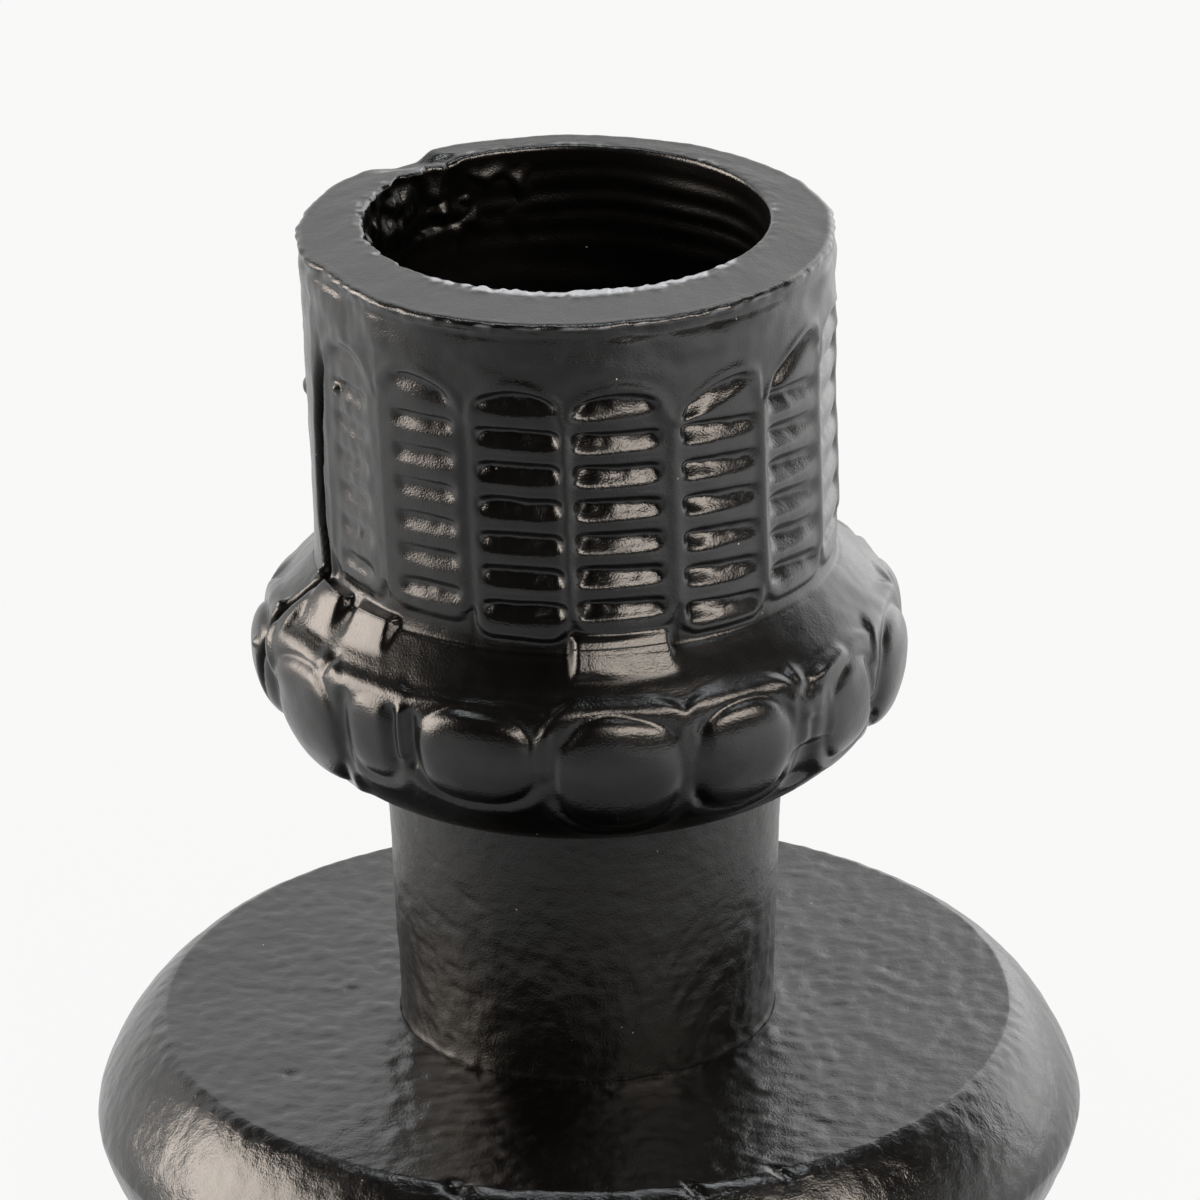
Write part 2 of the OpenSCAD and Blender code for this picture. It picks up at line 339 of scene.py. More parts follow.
def scoop(v):
    # section of a slot from its upper edge at -1 to its lower edge at 1, deepest near the top
    down = np.clip((v + 0.78) / 1.78, 0, 1)
    floor = 1 - 0.4 * down - 0.6 * down * down
    return np.where(v < -0.78, np.clip((v + 1) / 0.22, 0, 1) ** 2, floor) * (np.abs(v) < 1)


def layPanels(s):
    # middles, data and edges of all the panels, in turn from the left of the front
    rest = s["count"] - len(s["seen"])
    last, first = s["ribs"][-1][0], s["ribs"][0][0] + 360
    step = (first - last) / rest
    halfWide, slot, pitch, bottom = s["other"]
    rng = np.random.default_rng(s["seed"])
    middles, edges = list(s["seen"]), list(s["ribs"][:-1])
    for i in range(rest):
        low = rng.normal(0, 0.1)
        middles.append((last + step * (i + 0.5) + rng.normal(0, 0.4), halfWide, slot + low,
                        pitch + rng.normal(0, 0.02), bottom + low, 1.0, rng.normal(0, 0.05), 0.0))
        edges.append((last + step * i, rng.uniform(0.08, 0.22)))
    return np.array(middles), np.array(edges + [(first, s["ribs"][0][1])])


def ladderRelief(az, depth, x, y, z, s):
    # lift, depth of the slots, scored lines, and painted shade where the paint mirrors less
    middles, edges = layPanels(s)
    turn = (az[0] - edges[0, 0]) % 360 + edges[0, 0]
    index = np.clip(np.searchsorted(edges[:, 0], turn, "right") - 1, 0, len(middles) - 1)
    middle, halfWide, first, pitch, bottom, crisp, rise, fade = middles[index].T[:, None, :]
    radius = s["radius"]
    u = np.radians(turn - middle) * radius
    toLeft = np.radians(turn - edges[index, 0])[None] * radius
    toRight = np.radians(edges[index + 1, 0] - turn)[None] * radius
    half = (toLeft + toRight) / 2
    d = depth[:, None]
    wander = s["wander"] * grain(x, y, z * 2, 2.4, 51)
    lift = np.zeros((len(depth), az.shape[1]))
    lines = np.zeros(lift.shape)
    # level slots
    j = np.clip(np.round((d - first) / pitch), 0, s["slots"] - 1)
    end = np.clip(np.abs(u) / halfWide, 0, 1)
    high = s["halfHigh"] * (1 - 0.22 * end ** 4)
    v = (d + wander - first - j * pitch - rise * 0.2 * u) / high
    nearEnd = np.clip((np.abs(u) - halfWide + s["endWide"]) / s["endWide"], 0, 1)
    reach = np.sqrt(np.clip(1 - nearEnd ** 2, 0, 1))
    slot = scoop(v) * reach
    # painted shade along the slots' upper edges
    paintedShade = bell(v + 0.92, 0.2) * reach
    # the arched one over them
    bow = np.sqrt(np.clip(1 - end ** 2, 0, 1))
    crown = s["archTop"] + (s["archEnd"] - s["archTop"]) * (1 - bow)
    sill = s["archEnd"] + s["archHigh"] * (1 - end ** 2)
    centre, high = (crown + sill) / 2 - rise * u, np.maximum((sill - crown) / 2, 0.02)
    fromFirst = d - first + s["other"][1]
    arch = scoop((fromFirst + wander - centre) / high) * np.clip(high / 0.45, 0, 1)
    cut = s["deep"] * crisp * np.maximum(slot, arch) * (1 - fade * np.clip(u / halfWide, -1, 1))
    # the two right of the middle are deeper at their left ends
    deepLeft = np.where(az > 22, s["deepLeft"][1], s["deepLeft"][0]) * (np.abs(az - 22) < 24)
    cut *= 1 + deepLeft * np.clip(-u / halfWide - 0.1, 0, 1)
    # rungs are a little hollow along their middles
    k = np.clip(np.round((d - first) / pitch - 0.5), 0, s["slots"] - 2)
    fromRung = d + wander - first - (k + 0.5) * pitch
    dent = s["dent"] * smooth(0.2, 0.9, grain(x, y, z, 3.5, 52) + 0.55)
    lines -= dent * smooth(halfWide, halfWide - 0.7, np.abs(u)) * bell(fromRung, 0.11)
    # ribs that run up between the panels and over the arches
    local = fromFirst + rise * u * smooth(7, 5, d)
    body = smooth(bottom, bottom - 0.6, d) * smooth(5.0, 6.6, local)
    for away, height in ((toLeft, edges[index, 1]), (toRight, edges[index + 1, 1])):
        lift += height[None] * bell(away + wander, s["ribWide"]) * body
    top = s["frameTop"]
    q = np.hypot(u / (half - 0.15), np.clip(top - local, 0, None) / 2.55)
    over = (q - 1) * 2.5 + wander
    arched = smooth(top, top - 0.6, local) * crisp
    lift += s["ribHigh"] * bell(over, s["ribWide"]) * arched
    lines -= s["frameLine"] * bell(over, 0.1) * arched
    # the panels stand off the cove, with round lower corners and a hollow lower band
    qx = s["cornerR"] + 0.1 - np.minimum(toLeft, toRight)
    qy = s["cornerR"] + d - bottom
    off = np.hypot(np.maximum(qx, 0), np.maximum(qy, 0)) + np.minimum(np.maximum(qx, qy), 0)
    off -= s["cornerR"]
    lift -= s["standOff"] * smooth(-0.22, 0.16, off + wander) * smooth(16.6, 17.4, d)
    inner = smooth(halfWide, halfWide - 0.8, np.abs(u))
    lines -= s["lowLine"] * bell(d - bottom + 0.55 + wander, 0.12) * inner
    # painted shade over the cove, taken off its facets below
    cove = np.clip(off, 0, 1) * smooth(21.2, 20.4, d)
    for a0, a1, d0, d1, r0, r1, fall in s["facets"]:
        across = np.radians(np.minimum(angleGap(az, a0), -angleGap(az, a1))) * radius
        slope = (r1 - r0) / (d1 - d0)
        target = r0 + slope * (d - d0) - fall * np.radians(angleGap(az, (a0 + a1) / 2)) * radius
        facet = (target - np.hypot(x, y)) / (s["coveNormal"] * (1 + slope))
        mask = smooth(-0.25, 0.3, across + wander) * smooth(d0 - 0.25, d0 + 0.1, d + wander)
        mask = mask * smooth(d1 + 0.45, d1 + 0.05, d + 2 * wander)
        lift += (facet - lift) * mask
        cove = cove * (1 - mask)
    return lift, cut, lines, np.maximum(paintedShade, cove)


def eggRelief(az, depth, x, y, z, s):
    rest = s["count"] - len(s["seen"])
    first = s["seen"][0][0] + 360
    step = (first - s["next"]) / rest
    usualTop, usualBottom, usualHigh = s["other"]
    rng = np.random.default_rng(s["seed"])
    eggs = list(s["seen"])
    for i in range(rest):
        eggs.append((s["next"] + step * i, rng.uniform(9.6, 11.0),
                     usualTop + rng.normal(0, 0.15), usualBottom + rng.normal(0, 0.3),
                     usualHigh, rng.uniform(0.25, 0.4)))
    radius, square = s["radius"], s["square"]
    d = depth[:, None]
    warp = s["warp"] * grain(x, y, z, 3.2, 61)
    egg = np.zeros((len(depth), az.shape[1]))
    hood, cup, trough = egg.copy(), egg.copy(), egg.copy()
    for turn, wide, top, bottom, high, hoodHigh in eggs:
        u = np.radians(angleGap(az, turn)) * radius
        hu, hv = np.radians(wide) * radius, (bottom - top) / 2
        v = (d - (top + bottom) / 2) / hv
        q = np.abs((u + warp) / hu) ** square + np.abs(v + warp * 0.4) ** square
        q = q ** (1 / square)
        away = (q - 1) * min(hu, hv) * 1.02
        egg = np.maximum(egg, high * np.clip(1 - np.clip(q, 0, 1) ** 3.2, 0, 1) ** 0.66)
        trough = np.maximum(trough, bell(away - 0.06, 0.13) * (high > 0.3))
        above, below = smooth(0.45, -0.25, v), smooth(0.15, 0.55, v)
        roll = smooth(1.5, 1.15, away) * smooth(0.02, 0.25, away)
        roll = roll * (0.3 + 0.7 * np.clip(away - 0.2, 0, 0.9) / 0.9)
        hood = np.maximum(hood, hoodHigh * roll * above)
        ring = bell(away - 0.62, 0.42) * smooth(0, 0.22, away)
        cup = np.maximum(cup, s["cup"] * ring * below)
    rim = np.maximum(hood, cup)
    lift = egg + rim * (egg < 0.05) - s["trough"] * trough
    lift += s["grain"] * grain(x, y, z, 1.1, 62) * np.minimum(rim * 5, 1)
    for turn, top, bottom, wide, high in s["darts"]:
        u = np.radians(angleGap(az, turn)) * radius + warp * 0.3
        run = smooth(top - 0.4, top + 0.3, d) * smooth(bottom + 0.5, bottom - 0.3, d)
        lift += high * bell(u, wide * 1.3) * run
    for places, wide, high in s["strokes"]:
        run = np.array([(math.radians(turn) * radius, deep) for turn, deep in places])
        u, near = np.radians(az) * radius + warp * 0.5, 99.0
        for (u0, d0), (u1, d1) in zip(run, run[1:]):
            du, dd = u1 - u0, d1 - d0
            t = np.clip(((u - u0) * du + (d - d0) * dd) / (du ** 2 + dd ** 2), 0, 1)
            near = np.minimum(near, np.hypot(u - u0 - t * du, d - d0 - t * dd))
        lift += high * bell(near, wide)
    return lift


flawSet = {
    # mould parting at the left: depths and azimuths of the line
    "line": [(0, -69), (3, -70.4), (5, -70.8), (7, -72.3), (10, -74.4), (13, -75.4), (16, -75.2),
             (17.9, -73.4), (18.8, -72.6), (19.6, -74.2), (21.1, -76.4), (22.1, -77.2),
             (24.1, -79.0), (25, -79.6), (27, -81.0)],
    "radius": 15.5,               # at which widths beside it are measured
    "strip": 0.2,                 # height of the metal at its left
    "bulge": 0.4,                 # and at its right, on the collar
    "slitWide": (0.42, 0.09),     # on the sleeve and on the collar
    "slitDeep": (1.1, 0.5),
    "crumbs": 0.25,               # metal along the slit on the collar
    # beads of metal: azimuth, depth, radius, height
    "beads": [(-64.4, 6.9, 0.3, 0.28), (-87.5, 8.9, 0.5, 0.22), (-73.6, 18.7, 0.34, 0.32),
              (-78.0, 21.0, 0.26, 0.25), (-81.0, 23.4, 0.3, 0.22), (-58.0, 14.9, 0.3, 0.1)],
    "beadR": 15.0,                # at which their widths are measured
    # the wall is flattened between these azimuths, by this part of the whole way to the chord
    "flat": (-74.0, -46.0),
    "flatPart": 0.8,
    "flatR": 14.8,
    "flatGrain": 0.03,
}


def flattened(az, radius, s):
    # how far a circle of that radius falls in towards its chord
    a0, a1 = s["flat"]
    half = math.radians((a1 - a0) / 2)
    off = np.clip(np.radians(az - (a0 + a1) / 2), -half, half)
    return s["flatPart"] * radius * (math.cos(half) / np.cos(off) - 1)


def flawRelief(az, depth, x, y, z, s):
    # lift, and painted shade in the slit, where the paint mirrors less
    d = depth[:, None]
    line = np.interp(depth, *np.array(s["line"]).T)[:, None]
    gap = np.radians(angleGap(az, line)) * s["radius"] + 0.05 * grain(x, y, z, 1.8, 71)
    down = smooth(3.5, 7.5, d) * smooth(27.5, 24.5, d)
    lift = s["strip"] * smooth(0.05, -0.25, gap) * smooth(-7, -1.5, gap) * down
    onCollar = smooth(18.3, 19.8, d) * smooth(25, 23, d)
    lift += s["bulge"] * smooth(0.1, 0.7, gap) * smooth(5, 1.5, gap) * onCollar
    wide, narrow = s["slitWide"]
    deep, shallow = s["slitDeep"]
    wide = wide - (wide - narrow) * smooth(16.5, 19.5, d)
    slit = (deep - (deep - shallow) * smooth(17.5, 19.5, d)) * smooth(-0.02, 0.1, gap)
    along = down * smooth(4, 9, d)
    lift -= slit * smooth(wide + 0.12, wide, gap) * along
    # painted shade in the slit
    paintedShade = smooth(-0.25, -0.02, gap) * smooth(wide + 0.2, wide, gap) * along
    crumbs = np.clip(grain(x, y, z, 1.1, 72), 0.0, 1) * bell(gap + 0.4, 0.35)
    lift += s["crumbs"] * crumbs * smooth(18.2, 19.2, d) * smooth(25, 23.5, d)
    for turn, place, size, high in s["beads"]:
        off = np.hypot(np.radians(angleGap(az, turn)) * s["beadR"], d - place)
        lift += high * np.sqrt(np.clip(1 - (off / size) ** 2, 0, 1))
    face = smooth(19.5, 17.5, d)
    lift += flattened(az, s["flatR"], s) * face
    a0, a1 = s["flat"]
    face = face * smooth(a0 - 2, a0 + 4, az) * smooth(a1 + 2, a1 - 4, az)
    lift += s["flatGrain"] * grain(x * 2.2, y * 2.2, z * 0.5, 1.6, 73) * face
    return lift, paintedShade


rimSet = {
    "radius": 14.9,
    "wave": 0.12,                 # waviness of its outline
    "bead": 0.07,                 # along its edge, with a groove under it
    "beadGrain": 0.1,
    "topGrain": [(0.014, 1.5, 21), (0.006, 0.6, 22)],  # height, size and seed
    "edgeGlint": (-64, 52),            # azimuths between which its edge has a painted highlight
    # worn down at the rear left: azimuths of a soft end and a sharp one, depth
    "wornAndGlint": (-129, -141, -145, -150, 0.5),
    "ragged": 0.5,                # inner edge at the rear left
    "raggedAt": -98,
    "burr": 0.18,                 # along the front of the mouth, bare and with a painted highlight
    "bareAndGlintAt": 6,                  # azimuth of its middle
}

boreSet = {
    "marks": 0.055,               # height and pitch of the turning marks
    "pitch": 1.45,
    "lumps": 0.7,                 # at the rear left
    "lumpsAt": -112,
    "grain": 0.03,
    "flake": 0.3,                 # of paint, at the right near the mouth
    "flakeAt": 84,
}


def rimWear(az, depth, x, y, z, s):
    a0, a1, a2, a3, deep = s["wornAndGlint"]
    sink = smooth(a0, a1, az) * smooth(a3, a2, az) * smooth(3.2, 0.4, depth)[:, None]
    sink = deep * sink * (1 + 0.25 * grain(x, y, z, 3, 81))
    sink += 0.035 * (grain(x, y, z, 3.5, 82) + 0.6) * smooth(0.6, 0.05, depth)[:, None]
    return sink


def boreRelief(az, depth, x, y, z, s):
    # faint turning marks, lumps at the rear left and a flake
    d = depth[:, None]
    rough = smooth(75, 35, np.abs(angleGap(az, s["lumpsAt"])))
    pitch = s["pitch"] + 0.1 * np.sin(d * 0.9)
    marks = s["marks"] * np.sin(2 * np.pi * (d + 0.5 * grain(x, y, z, 9, 6)) / pitch)
    lumps = np.clip(grain(x, y, z, 1.3, 7), 0.05, 1) * smooth(8, 1, d)
    lift = marks * (1 - 0.6 * rough) + s["lumps"] * rough * lumps
    lift = lift + s["grain"] * grain(x, y, z, 2, 14)
    flake = bell(angleGap(az, s["flakeAt"]) - 0.8 * (d - 1.2), 2.2) * bell(d - 1.3, 1.0)
    return lift + s["flake"] * flake


def socketPath(s):
    # half section from the top of the tapped hole round the outside to the bore's floor, and the
    # rows at which it starts, the outside starts, the rim starts and the rim ends
    rimR, lipR, boreR = s["outline"][-1][0], s["outline"][0][0], s["boreR"]
    tapTop, low, floor = seatTop + s["tapTop"], socketLow[2], rimTop - s["boreDepth"]
    under = rounded([(0, tapTop), (s["tapR"], tapTop), (s["tapR"], low), (s["spigotR"], low),
                     (s["spigotR"], seatTop), (lipR - 0.15, seatTop)], [1, 1.2, 1.2, 1, 0.6], {})
    outer = spline([(r, rimTop - d) for r, d in s["outline"]], s["fine"])
    mouth = rounded([(rimR, rimTop - 0.45), (rimR, rimTop), (boreR, rimTop), (boreR, rimTop - 4)],
                    [0.1, 0.12, 0.12, 0.12], {1: s["rimRound"], 2: s["mouthRound"]})
    inner = rounded([(boreR, rimTop - 4), (boreR, floor), (0, floor)], [0.3, 1], {1: 0.8})
    starts = np.cumsum([0, len(under) - 1, len(outer) - 1, len(mouth) - 1])
    return np.vstack([under[:-1], outer[:-1], mouth[:-1], inner]), starts


def buildSocket(s):
    path, starts = socketPath(s)
    rimR, boreR = s["outline"][-1][0], s["boreR"]
    az, normals, x, y, z = layOut(path, s["turns"], False)
    radii, depth = path[:, 0], rimTop - path[:, 1]
    row = np.arange(len(path))
    outside = (row >= starts[1]) & (row < starts[2])
    mouth = (row >= starts[2]) & (row < starts[3])
    deepIn = (row >= starts[2]) & (radii < boreR + 0.01)
    lift = np.zeros(x.shape)
    # ornament on the outside; the strip beside the parting is plain
    o = slice(starts[1], starts[2])
    part = (az, depth[o], x[o], y[o], z[o])
    ladder, cut, lines, paintedShade = ladderRelief(*part, panelSet)
    plain = smooth(-94, -90, az) * smooth(-69.8, -71.2, az)
    kept = smooth(22, 21, depth[o])[:, None] * (1 - plain)
    relief = soften((ladder + lines) * kept, 2)
    cut = soften(cut * kept, 3)
    cut += s["slotGrain"] * grain(x[o], y[o], z[o], 0.75, 17) * smooth(0.05, 0.35, cut)
    # the slots of both flanks were filled with paint
    filledLeft = smooth(-23, -26, az) * (0.45 + 0.4 * smooth(-45, -50, az))
    filled = np.maximum(0.85 * smooth(41, 50, az), filledLeft)
    relief -= cut + (soften(cut, 12) - cut) * filled
    onCollar = smooth(20.6, 21.6, depth[o]) * smooth(31, 30.2, depth[o])
    relief += soften(eggRelief(*part, eggSet) * onCollar[:, None], 4)
    flaw, dark = flawRelief(*part, flawSet)
    lift[o] = relief + soften(flaw, 1)
    # waves of the casting
    calm = (outside * smooth(30.8, 29.8, depth))[:, None]
    band = (smooth(4.6, 2.5, depth) * smooth(0.2, 0.9, depth))[:, None]
    lift += calm * grains(x, y, z, s["waves"])
    lift += calm * band * (s["bandWave"] * grain(x, y, z * 1.6, 2.7, 12)
                           + s["bandGrain"] * grain(x, y, z, 1.1, 18))
    # the outline at the rim, carried over the top, with a bead along its edge
    turnX, turnY = np.sin(np.radians(az)), -np.cos(np.radians(az))
    ringX, ringY = rimSet["radius"] * turnX, -rimSet["radius"] * turnY
    edge = grain(ringX, ringY, 0, 2.6, 13) + 0.45 * grain(ringX, ringY, 0, 0.9, 19)
    wave = rimSet["wave"] * edge
    plan = flattened(az, rimSet["radius"], flawSet) + wave
    lift += (outside * smooth(1.4, 0.3, depth))[:, None] * wave
    bead = bell(depth - 0.28, 0.2) * (outside | (mouth & (radii > rimR - 0.5)))
    lift += bead[:, None] * (rimSet["bead"] + rimSet["beadGrain"] * grain(x, y, z, 0.8, 8))
    lift -= rimSet["bead"] * (bell(depth - 0.85, 0.25) * outside)[:, None]
    floor = s["boreDepth"]
    wall = (deepIn * smooth(0.5, 1.8, depth) * smooth(floor - 0.5, floor - 2, depth))[:, None]
    lift += wall * boreRelief(az, depth, x, y, z, boreSet)
    points = around(path, az, lift, normals)
    across = np.where(mouth, smooth(boreR + 0.4, rimR - 0.2, radii), 0)[:, None] * plan
    # its inner edge is ragged at the rear left
    innerEdge = bell(radii - boreR, 0.55) * (mouth | (deepIn & (depth < 1.6)))
    ragged = np.clip(grain(x, y, z * 0.7, 1.1, 20), -0.2, 1)
    ragged = ragged * smooth(62, 40, np.abs(angleGap(az, rimSet["raggedAt"])))
    across = across + rimSet["ragged"] * innerEdge[:, None] * ragged
    points[..., 0] += across * turnX
    points[..., 1] += across * turnY
    # the bore lies behind the middle of the casting
    inBore = (row >= starts[3]) * 1.0
    back = np.where(mouth, smooth(rimR - 0.6, boreR + 0.3, radii), inBore)[:, None]
    points[..., 1] += s["boreBack"] * back
    points[..., 2] -= rimWear(az, depth, x, y, z, rimSet) * (1 - 0.5 * back)
    # burr along the front of the mouth, chipped paint there and round it, and a painted highlight
    front = smooth(52, 22, np.abs(angleGap(az, rimSet["bareAndGlintAt"])))
    lipNear = (bell(radii - boreR - 0.45, 0.4) * mouth * (depth < 0.3))[:, None]
    chip = grain(x, y, z, 0.65, 9) + 0.6 * grain(x, y, z, 2.2, 10)
    points[..., 2] += lipNear * (rimSet["burr"] * front * smooth(-0.3, 0.5, chip) + 0.03 * chip)
    faceTop = (mouth * smooth(0.3, 0.1, depth))[:, None]
    points[..., 2] += faceTop * (grains(x, y, z, rimSet["topGrain"]) - 0.01)
    points[..., 2] = np.minimum(points[..., 2], rimTop + 0.08)
    mouthEdge = (bell(radii - boreR - 0.36, 0.44) * mouth * smooth(0.45, 0.2, depth))[:, None]
    # pale where paint chipped at the front, and a faint painted highlight all round the mouth's
    # edge
    chipsAndGlint = mouthEdge * (0.76 * front + 0.28 + (0.75 * front + 0.3) * chip)
    chipsAndGlint = smooth(0.3, 0.62, chipsAndGlint)
    # painted highlight along the outer edge, in the pale colour of bare metal
    a0, a1 = rimSet["edgeGlint"]
    wornAndGlint = (bell(depth - 0.22, 0.09) * (row < starts[2] + 14) * (row > starts[1]))[:, None]
    edgeGlintRun = smooth(a0 - 4, a0 + 4, az) * smooth(a1 + 6, a1 - 6, az)
    broken = 0.75 + 0.7 * grain(x, y, z, 1.2, 15) + 0.4 * grain(x, y, z, 4, 16)
    chipsAndGlint = np.maximum(chipsAndGlint, 0.3 * smooth(0.5, 0.9, wornAndGlint * edgeGlintRun * broken))
    # less mirror in the bore, and painted shade in the slit, the cove and the slots' upper edges
    hollow = s["dullBore"] * (deepIn * smooth(0.1, 0.6, depth))[:, None] + 0 * az
    paintedShade = s["cornerShade"] * paintedShade * kept * (1 - filled)
    hollow[o] = np.maximum(hollow[o], np.maximum(dark, paintedShade))
    # the casting leans a little to the left of its seat
    leanFrom = s["leanFrom"]
    points[..., 0] -= s["lean"] * np.clip((leanFrom - depth) / leanFrom, 0, 1)[:, None]
    return gridMesh("socket_casting", points, False, {"chipsAndGlint": chipsAndGlint, "hollow": hollow})


# Neck

neckSet = {
    "turns": 720,
    # radii and heights of the outside, from its lower end up
    "outer": [(10.7, neckLow[2]), (10.62, footTop), (10.68, footTop + 3), (10.85, footTop + 7),
              (11.05, footTop + 11.5), (11.28, neckHigh[2])],
    "fine": 0.12,                 # spacing of the rows outside
    "boreR": 6.5,
    "wave": 0.08,                 # long waves of the casting
    "level": 0.012,               # grain that runs round it
    # rough grain: height at the top, how much more near the foot, size and seed
    "rough": [(0.018, 0.038, 1.2, 32), (0.006, 0.018, 0.6, 33)],
    "sunk": 0.03,                 # mean depth of all that
    "fillet": 0.05,               # of paint in the joint with the foot
    # creases: azimuth, height above the foot, half length in degrees, depth
    "creases": [(-37, 10.6, 6, 0.08), (-46, 8.6, 8, 0.05), (-39, 4.4, 7, 0.04),
                (-51, 12.3, 7, 0.045), (31, 6.4, 9, 0.03), (48, 8.8, 8, 0.03),
                (12, 11.2, 6, 0.03)],
    "creaseWide": 0.36,
}


def buildNeck(s):
    bottom, top = neckLow[2], neckHigh[2]
    outer = spline(s["outer"], s["fine"])
    inner = rounded([(s["outer"][-1][0], top), (s["boreR"], top), (s["boreR"], bottom),
                     (s["outer"][0][0], bottom)], [0.8, 1.5, 0.8], {})
    path = np.vstack([outer[:-1], inner[:-1]])
    az, normals, x, y, z = layOut(path, s["turns"], True)
    skin = np.zeros(len(path))
    skin[:len(outer)] = smooth(footTop - 0.3, footTop + 0.4, outer[:, 1])
    skin[:len(outer)] *= smooth(top, top - 0.6, outer[:, 1])
    low = smooth(footTop + 11, footTop + 6, z)
    lift = s["wave"] * grain(x, y, z * 0.6, 5, 31) + s["level"] * grain(x, y, z * 2.2, 0.9, 34)
    for high, more, size, seed in s["rough"]:
        lift += (high + more * low) * grain(x, y, z, size, seed)
    lift -= s["sunk"]
    for turn, height, long, deep in s["creases"]:
        away = z - footTop - height + 0.05 * angleGap(az, turn)
        away = away + 0.15 * grain(x, y, z, 1.5, 35)
        lift -= deep * bell(away, s["creaseWide"]) * bell(angleGap(az, turn), long)
    joint = bell(path[:, 1] - footTop - 0.02, 0.26) * (np.arange(len(path)) < len(outer))
    paint = s["fillet"] * joint[:, None] * (1 + 1.2 * grain(x, y, z, 0.9, 36))
    lift = lift * skin[:, None] + paint
    return gridMesh("neck_casting", around(path, az, lift, normals), True)


# Foot

footSet = {
    "turns": 960,
    "sideR": footHigh[0],
    "flatR": 24.0,                # of the level top and of the underside
    "brow": 6.0,                  # from the top down to the widest place
    "power": 1.43,                # 1 would be round, and more brings the side to an edge
    "fine": 0.16,                 # spacing of the rows on the top
    "seatR": 10.63,
    "seatDeep": 1.5,
    "holeR": 2.75,
    "recessR": 7.5,
    "feltR": 22.2,
    "feltDeep": 0.6,
    "wave": 0.08,                 # long waves of the casting
    "waveSunk": 0.04,             # and their mean depth
    "peel": 0.02,                 # orange peel of the paint
    "peelTop": 0.025,             # how much more of it the top has
    "longPeel": 0.022,
    "sideGrain": 0.02,
    # nicks of the front edge: azimuth, width, depth
    "nicks": [(-17.9, 0.6, 0.34), (13.2, 0.32, 0.32), (25.2, 0.35, 0.22)],
    # pits of the top: place and radius, depth
    "pits": [(-16.7, -9.0, 0.55, 0.13), (17.3, 3.5, 0.25, 0.05)],
}


def footPath(s):
    # section from the underside up the side, over the top and back through the hole, and the
    # rows at which the top's edge and the seat start
    top, bottom, felt = footTop, footLow[2], footLow[2] + s["feltDeep"]
    flatR, seatR, holeR, recessR = s["flatR"], s["seatR"], s["holeR"], s["recessR"]
    waist, seat = top - s["brow"], top - s["seatDeep"]
    a = np.radians(np.linspace(0, 90, 60))
    out = flatR + (s["sideR"] - flatR) * np.sin(a) ** s["power"]
    rise = np.cos(a) ** s["power"]
    lower = np.stack([out, waist - (waist - bottom) * rise], 1)
    upper = np.stack([out, waist + s["brow"] * rise], 1)[::-1]
    flat = straight((flatR, top), (seatR + 0.1, top), s["fine"])
    inside = rounded([(seatR + 0.1, top), (seatR + 0.02, top), (seatR, top - 0.03), (seatR, seat),
                      (holeR, seat), (holeR, webBottom), (recessR, webBottom), (recessR, felt),
                      (s["feltR"], felt), (s["feltR"], bottom), (flatR, bottom)],
                     [0.1, 0.1, 0.5, 1, 0.8, 1, 1, 1.5, 0.4, 0.4], {})
    path = np.vstack([lower[:-1], upper[:-1], flat[:-1], inside[:-1]])
    edge = len(lower) + len(upper) - 2
    return path, edge, edge + len(flat) - 1


def buildFoot(s):
    path, edge, seat = footPath(s)
    az, normals, x, y, z = layOut(path, s["turns"], True)
    radii, bottom = path[:, 0][:, None], footLow[2]
    row = np.arange(len(path))[:, None]
    skin = (row < seat) * smooth(bottom, bottom + 1.5, path[:, 1][:, None])
    onTop = ((row >= edge - 12) & (row < seat)) * 1.0
    nearNeck = smooth(s["flatR"] - 4, s["seatR"], radii) * onTop
    wave = s["wave"] * grain(x, y, z, 9, 41) - s["waveSunk"]
    lift = wave * smooth(s["seatR"] + 0.2, s["seatR"] + 3, radii)
    peel = (s["peel"] + s["peelTop"] * onTop) * grain(x, y, z, 1.0, 42)
    peel = (peel + s["longPeel"] * grain(x, y, z, 2.2, 43)) * (1 + 0.5 * nearNeck)
    lift = lift + peel * smooth(s["seatR"] + 0.1, s["seatR"] + 0.5, radii)
    lift += s["sideGrain"] * grain(x, y, z * 0.35, 1.3, 44) * (1 - onTop)
    pastEdge = radii - s["flatR"]
    for turn, wide, deep in s["nicks"]:
        slant = np.radians(angleGap(az, turn)) * s["flatR"] - 0.4 * pastEdge
        lift = lift - deep * bell(slant, wide) * bell(pastEdge - 0.15, 0.6)
    for px, py, size, deep in s["pits"]:
        lift = lift - deep * bell(np.hypot(x - px, y - py), size) * onTop
    points = around(path, az, lift * skin, normals)
    points[..., 2] = np.minimum(points[..., 2], footTop + 0.08)
    return gridMesh("foot_casting", points, True)


# Materials

def group(name, inputs, outputs):
    # node group whose sockets all carry numbers
    number = "NodeSocketFloat"
    tree = bpy.data.node_groups.new(name, "ShaderNodeTree")
    for label, value in inputs:
        given = tree.interface.new_socket(name=label, in_out="INPUT", socket_type=number)
        given.default_value = value
    for label in outputs:
        tree.interface.new_socket(name=label, in_out="OUTPUT", socket_type=number)
    return tree, tree.nodes.new("NodeGroupInput"), tree.nodes.new("NodeGroupOutput")


def feed(tree, n, **values):
    # a node's settings and inputs, some of which come from the sockets of other nodes
    for key, value in values.items():
        label = key.replace("_", " ")
        if isinstance(value, bpy.types.NodeSocket):
            tree.links.new(value, n.inputs[label])
        elif hasattr(n, key):
            setattr(n, key, value)
        else:
            n.inputs[label].default_value = value
    return n


def node(tree, kind, **values):
    return feed(tree, tree.nodes.new("ShaderNode" + kind), **values)


def placeOf(tree):
    return node(tree, "TexCoord").outputs["Object"]


